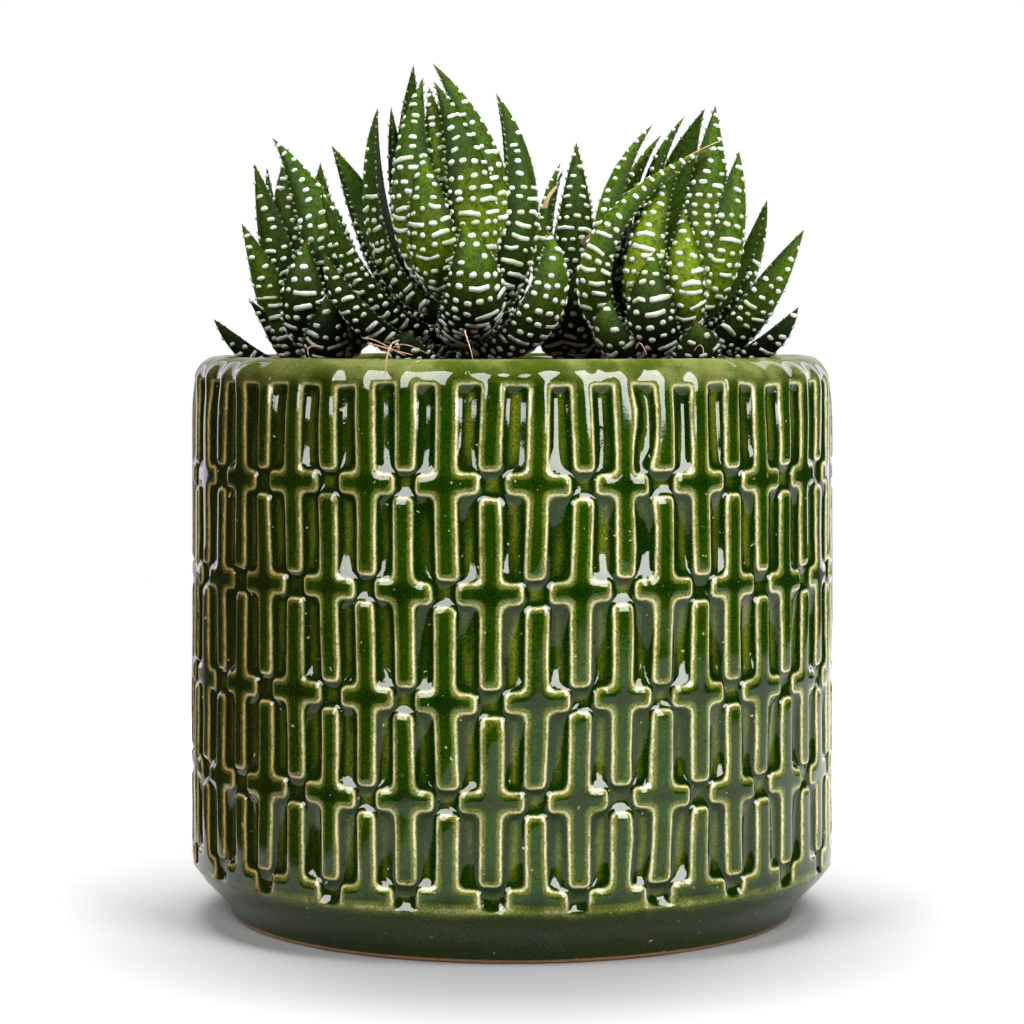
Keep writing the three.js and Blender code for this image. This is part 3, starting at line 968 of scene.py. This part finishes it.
def bead_material():
    white = Finish("tubercle_white", IOR=1.4, Roughness=0.55, Specular_IOR_Level=0.3)
    cloudy = white.noise(230, 2)
    fine = white.noise(1800, 2)
    body = white.mix(white.step(cloudy, 0.3, 0.6), colour(196, 208, 160), colour(236, 240, 228))
    # Painted shade: marks low down in the clump turn grey.
    depth_shade = white.step(white.axis("Z") / MM, 136, 122)
    body = white.mix(0.55 * depth_shade, body, colour(120, 128, 112))
    white.feed("Base Color", white.tinted(body, 0.8 + 0.4 * fine))
    white.bump(fine, 0.06 * MM, 0.6)
    return white.material


def tooth_material():
    tooth = Finish("tooth_green", IOR=1.4, Roughness=0.6, Specular_IOR_Level=0.3)
    cloudy = tooth.noise(700, 2)
    green = tooth.mix(cloudy, colour(58, 80, 24), colour(104, 126, 44))
    pale = tooth.mix(tooth.step(cloudy, 0.4, 0.65), green, colour(206, 212, 164))
    body = tooth.mix(tooth.step(tooth.attribute("point"), 0.5, 0.95), green, pale)
    # Painted shade: teeth low down in the clump are darker.
    depth_shade = tooth.step(tooth.axis("Z") / MM, 144, 122)
    tooth.feed("Base Color", tooth.mix(0.8 * depth_shade, body, colour(14, 20, 8)))
    return tooth.material


def build_plant():
    blank = drawn_out(leaf_section(), LEAF_RINGS)
    bead = bead_blank()
    skin = leaf_material()
    white_finish = bead_material()
    tooth_finish = tooth_material()
    for seed, name in enumerate(ROSETTES):
        draw = random.Random(40 + seed)
        leaves = build_leaves(name, blank, draw)
        finish_piece(leaves, "leaf", skin, name)
        white, green = build_beads(name, bead, draw)
        finish_piece(white, "leaf", white_finish)
        finish_piece(green, "leaf", tooth_finish)
    remove(blank)
    remove(bead)


# ---- dry roots, a thread and dry bracts ----
# Each strand is (the four posts of its line, thickness), and a flat one has its flatness too.
ROOTS = (
    ((-23, -52, 125.5), (-24, -58, 125), (-24.6, -67.5, 125.4), (-25.2, -65.6, 118.2), 0.26),
    ((-29, -56, 125), (-26, -60, 124.4), (-23, -62, 123.4), (-19.5, -62, 122.7), 0.17),
    ((-30, -54, 126), (-27, -58, 126.2), (-24, -61, 123.4), (-21, -62.5, 122.6), 0.15),
    ((-24, -54, 124), (-22, -59, 125.8), (-19, -61, 124), (-16.5, -61, 122.8), 0.14),
    ((-9.4, -56, 127.5), (-9.6, -59, 127), (-8.6, -65, 126), (-7.6, -66.6, 121.4), 0.2),
    ((-39, -45, 124), (-41, -48, 125), (-42, -51, 124), (-41, -53, 122.4), 0.13),
    ((25, -55, 124), (25.4, -58, 126), (26, -60, 125), (27, -61, 122.6), 0.15),
    ((37, -50, 123.5), (38, -52, 125.5), (39, -54, 124.5), (38.4, -56, 122.4), 0.13),
)
THREADS = (
    ((44.6, -13, 168), (38, -16, 165.5), (30, -16, 160), (22.5, -13, 155.9), 0.12),
)
BRACTS = (
    ((7.4, 20, 155), (7.6, 19.5, 156.5), (8.6, 19.5, 158.4), (10.2, 20.5, 160), 0.6, 0.25),
    ((15.4, 1, 146.4), (16.6, -0.2, 147.6), (18, -0.2, 149), (19.6, 0.5, 150.4), 0.75, 0.22),
    ((20, 1, 147), (18.8, -0.4, 147.8), (17.6, -0.4, 148.6), (16, 0.4, 149.4), 0.5, 0.25),
)
LOOSE_ROOTS = 46


def strand_places(blank, posts, thick, flatness=1):
    """The blank bent along a line through four posts, thinner towards its end."""
    t = np.clip(blank[:, 2:3], 0, 1)
    posts = np.array(posts)
    along = curve_directions(posts, t)
    aside = unit(np.cross(along, (0.12, 1, 0.2)))
    depth = np.cross(along, aside)
    section = blank[:, 0:1] * aside + flatness * blank[:, 1:2] * depth
    return (curve_points(posts, t) + thick * (1 - 0.55 * t) * section) * MM


def loose_roots(draw):
    """Short dry roots that lie about on the potting mix, inside the rim."""
    strands = []
    for _ in range(LOOSE_ROOTS):
        turn = draw.uniform(0, 2 * math.pi)
        posts = []
        for reach, height in ((46, 116), (51, 118), (56, 116), (60, 113)):
            bend = turn + draw.uniform(-0.09, 0.09)
            far = reach + draw.uniform(-2, 1.5)
            lifted = height + draw.uniform(-1.5, 2.5)
            posts.append((far * math.sin(bend), -far * math.cos(bend), lifted))
        strands.append((*posts, draw.uniform(0.12, 0.22)))
    return strands


def build_strands():
    turns = [index * math.pi / 3 for index in range(6)]
    blank = drawn_out(np.array([(math.cos(turn), math.sin(turn)) for turn in turns]), 14)
    shape = coordinates(blank)
    fibre = strand_material("dry_fibre", (146, 110, 76), (204, 170, 132))
    paper = strand_material("dry_bract", (176, 134, 96), (222, 196, 150))
    roots = ROOTS + tuple(loose_roots(random.Random(71)))
    sets = (
        ("dry_roots", roots, fibre),
        ("dry_thread", THREADS, paper),
        ("dry_bracts", BRACTS, paper),
    )
    for name, strands, material in sets:
        copies = [strand_places(shape, strand[:4], *strand[4:]) for strand in strands]
        piece = piece_of_copies(name, blank, copies)
        smooth(piece, 80)
        finish_piece(piece, "leaf", material)
    remove(blank)


def strand_material(name, dark, light):
    fibre = Finish(name, IOR=1.4, Roughness=0.7, Specular_IOR_Level=0.3)
    uneven = fibre.noise(900, 3)
    fibre.feed("Base Color", fibre.mix(uneven, colour(*dark), colour(*light)))
    fibre.bump(fibre.noise(2400, 2), 0.06 * MM, 0.7)
    return fibre.material


# ---- potting mix ----
SOIL_TOP = 112.0
SOIL_RADIUS = 62.7
SOIL_EDGE = 3.0
CHIPS = 420


def build_soil():
    deselect()
    bpy.ops.mesh.primitive_grid_add(x_subdivisions=150, y_subdivisions=40, size=1)
    soil = bpy.context.object
    soil.name = "potting_mix"
    flat = coordinates(soil)
    turn = (flat[:, 0] + 0.5) * 2 * math.pi
    share = flat[:, 1] + 0.5
    radius = SOIL_RADIUS * np.clip(share / 0.9, 0, 1)
    lumps = 0.9 * wave(turn, 6 * radius, 21, 9, 12, 0.3)
    lumps = lumps + 0.5 * wave(turn, 9 * radius, 22, 9, 30, 0.5)
    height = SOIL_TOP + np.where(share < 0.9, lumps * np.clip(radius / 20, 0, 1), 0)
    height = np.where(share >= 0.9, SOIL_TOP - SOIL_EDGE * (share - 0.9) / 0.1, height)
    place_vertices(soil, rolled(radius, turn, height) * MM)
    weld(soil)
    end = (SOIL_RADIUS, SOIL_TOP - SOIL_EDGE)
    close_end(soil, end, [(SOIL_RADIUS, 14), (SOIL_RADIUS - 5.5, FLOOR_HEIGHT + 0.5)])
    face_outwards(soil)
    smooth(soil, 60)
    finish_piece(soil, "potting_mix", soil_material(), "soil")


def build_chips():
    """Bits of bark and grit that lie on the potting mix."""
    deselect()
    bpy.ops.mesh.primitive_cube_add(size=1)
    blank = bpy.context.object
    with editing_all():
        bpy.ops.mesh.subdivide(number_cuts=1, smoothness=0.6)
    shape = coordinates(blank)
    draw = random.Random(83)
    copies = []
    for _ in range(CHIPS):
        far = SOIL_RADIUS * math.sqrt(draw.uniform(0.02, 0.93))
        turn = draw.uniform(0, 2 * math.pi)
        size = draw.uniform(0.8, 2.6)
        long = np.array([size * draw.uniform(1, 1.9), size, size * draw.uniform(0.35, 0.8)])
        uneven = np.array([[draw.uniform(0.8, 1.2) for _ in range(3)] for _ in shape])
        chip = shape * uneven * long
        spin = draw.uniform(0, math.pi)
        tip = draw.uniform(-0.5, 0.5)
        x = chip[:, 0] * math.cos(tip) - chip[:, 2] * math.sin(tip)
        y = chip[:, 1]
        z = chip[:, 0] * math.sin(tip) + chip[:, 2]
        across = x * math.cos(spin) - y * math.sin(spin)
        deep = x * math.sin(spin) + y * math.cos(spin)
        height = SOIL_TOP + draw.uniform(0.2, 1.4)
        middle = (far * math.sin(turn), -far * math.cos(turn), height)
        copies.append((np.column_stack([across, deep, z]) + middle) * MM)
    chips = piece_of_copies("bark_chips", blank, copies)
    smooth(chips, 35)
    finish_piece(chips, "potting_mix", chip_material())
    remove(blank)


def chip_material():
    chip = Finish("bark_and_grit", IOR=1.4, Roughness=0.85)
    patchy = chip.noise(260, 2)
    fine = chip.noise(1600, 3)
    bark = chip.mix(fine, colour(34, 22, 13), colour(96, 64, 38))
    grit = chip.mix(fine, colour(126, 112, 92), colour(176, 162, 138))
    chip.feed("Base Color", chip.mix(chip.step(patchy, 0.56, 0.62), bark, grit))
    chip.bump(fine, 0.2 * MM, 0.8)
    return chip.material


def soil_material():
    soil = Finish("dark_potting_mix", IOR=1.4, Roughness=0.95)
    coarse = soil.noise(220, 5)
    fine = soil.noise(1500, 3)
    body = soil.mix(coarse, colour(28, 19, 12), colour(74, 54, 36))
    body = soil.mix(soil.step(fine, 0.62, 0.75), body, colour(112, 92, 66))
    soil.feed("Base Color", body)
    soil.bump(coarse + 0.3 * fine, 1.2 * MM, 0.9)
    return soil.material


# ---- floor, light and sky ----
FLOOR_MIDDLE = 230 * MM
FLOOR_HALF = (400 * MM, 660 * MM)
# The floor's colour: darker near the pot, as painted shadow round its foot, and paler further out.
FLOOR_NEAR = (0.42, 0.42, 0.42, 1)
FLOOR_FAR = (0.72, 0.72, 0.72, 1)


def build_floor():
    """An oval table top, further out to the right than to the left, that fades out at its edge."""
    deselect()
    bpy.ops.mesh.primitive_circle_add(vertices=128, radius=1, fill_type="NGON")
    floor = bpy.context.object
    floor.name = "floor"
    with editing_all():
        bpy.ops.transform.resize(value=(*FLOOR_HALF, 1), center_override=(0, 0, 0))
        bpy.ops.transform.translate(value=(FLOOR_MIDDLE, 0, 0))
    white = Finish("pale_floor", Roughness=0.9, Specular_IOR_Level=0)
    away = white.node("VectorMath", {"operation": "LENGTH"}, {0: white.place}, "Value")
    # Painted shadow: the floor darkens towards the pot's foot, which also dims its reflection in
    # the glaze.
    shadow_fades = white.step(away, 0.06, 0.2)
    white.feed("Base Color", white.mix(shadow_fades, FLOOR_NEAR, FLOOR_FAR))
    oval = {
        "Vector": white.place,
        "Location": (-FLOOR_MIDDLE / FLOOR_HALF[0], 0, 0),
        "Scale": (1 / FLOOR_HALF[0], 1 / FLOOR_HALF[1], 1),
    }
    share = white.node("Mapping", {}, oval)
    share = white.node("VectorMath", {"operation": "LENGTH"}, {0: share}, "Value")
    white.feed("Alpha", white.step(share, 1.0, 0.93))
    floor.data.materials.append(white.material)


def add_softbox(place, target, size, radiance):
    """A rectangular light whose reflection is as bright at any size."""
    deselect()
    bpy.ops.object.light_add(type="AREA", location=place)
    light = bpy.context.object
    light.data.shape = "RECTANGLE"
    light.data.size, light.data.size_y = size
    light.data.energy = radiance * math.pi * size[0] * size[1]
    facing = Vector(target) - Vector(place)
    light.rotation_euler = facing.to_track_quat("-Z", "Y").to_euler()
    return light


def around(azimuth, elevation, distance, target):
    """A place seen from the target at that many degrees right of the front and up."""
    turn, rise = math.radians(azimuth), math.radians(elevation)
    flat = distance * math.cos(rise)
    return (
        target[0] + flat * math.sin(turn),
        target[1] - flat * math.cos(turn),
        target[2] + distance * math.sin(rise),
    )


# Each light is (azimuth right of the front, elevation, size in metres, radiance). The glints show
# only as reflections, mainly in the glaze. The fills light all surfaces and reflect in none.
LIGHT_TARGET = (0, 0, 0.11)
GLINT_DISTANCE = 1.0
FILL_DISTANCE = 1.1
GLINTS = (
    (42, 34, (0.48, 1.32), 25),
    (-40, 34, (0.58, 1.16), 21),
    (144, 16, (0.3, 0.8), 2.2),
    (-142, 16, (0.3, 0.8), 1.8),
)

# A touch of lilac, which the glaze's greenish reflection turns back to white.
GLINT_COLOUR = (0.86, 0.82, 1.0)
FILLS = (
    (180, 66, (1.0, 0.7), 12),
    (42, 42, (0.42, 0.5), 18),
    (-42, 42, (0.42, 0.42), 15),
)

# How bright the sky is to the surfaces: dim all round, and paler straight behind the pot.
SKY_DIM = 0.03
SKY_BEHIND = 0.6


def build_lights():
    for azimuth, elevation, size, radiance in GLINTS:
        place = around(azimuth, elevation, GLINT_DISTANCE, LIGHT_TARGET)
        glint = add_softbox(place, LIGHT_TARGET, size, radiance)
        glint.visible_diffuse = False
        glint.data.color = GLINT_COLOUR
    for azimuth, elevation, size, radiance in FILLS:
        place = around(azimuth, elevation, FILL_DISTANCE, LIGHT_TARGET)
        fill = add_softbox(place, LIGHT_TARGET, size, radiance)
        fill.visible_glossy = False


def build_sky():
    """White to the camera, and far dimmer to the surfaces."""
    world = bpy.data.worlds.new("studio")
    bpy.context.scene.world = world
    world.use_nodes = True
    sky = Nodes(world.node_tree)
    background = sky.tree.nodes["Background"]
    direction = sky.node("TexCoord", {}, {}, "Generated")
    backwards = sky.node("SeparateXYZ", {}, {0: direction}, "Y")
    sockets = {0: backwards, 1: 0.7, 2: 0.95, 3: SKY_DIM, 4: SKY_BEHIND}
    behind = sky.node("MapRange", {"interpolation_type": "SMOOTHSTEP"}, sockets)
    to_camera = sky.node("LightPath", {}, {}, "Is Camera Ray")
    strength = sky.node("Math", {"operation": "MAXIMUM"}, {0: behind, 1: to_camera})
    sky.tree.links.new(strength.socket, background.inputs["Strength"])
    background.inputs["Color"].default_value = (1, 1, 1, 1)
    view = bpy.context.scene.view_settings
    view.view_transform = "Standard"
    view.look = "None"


add_camera()
build_pot()
build_plant()
build_strands()
build_soil()
build_chips()
build_floor()
build_lights()
build_sky()
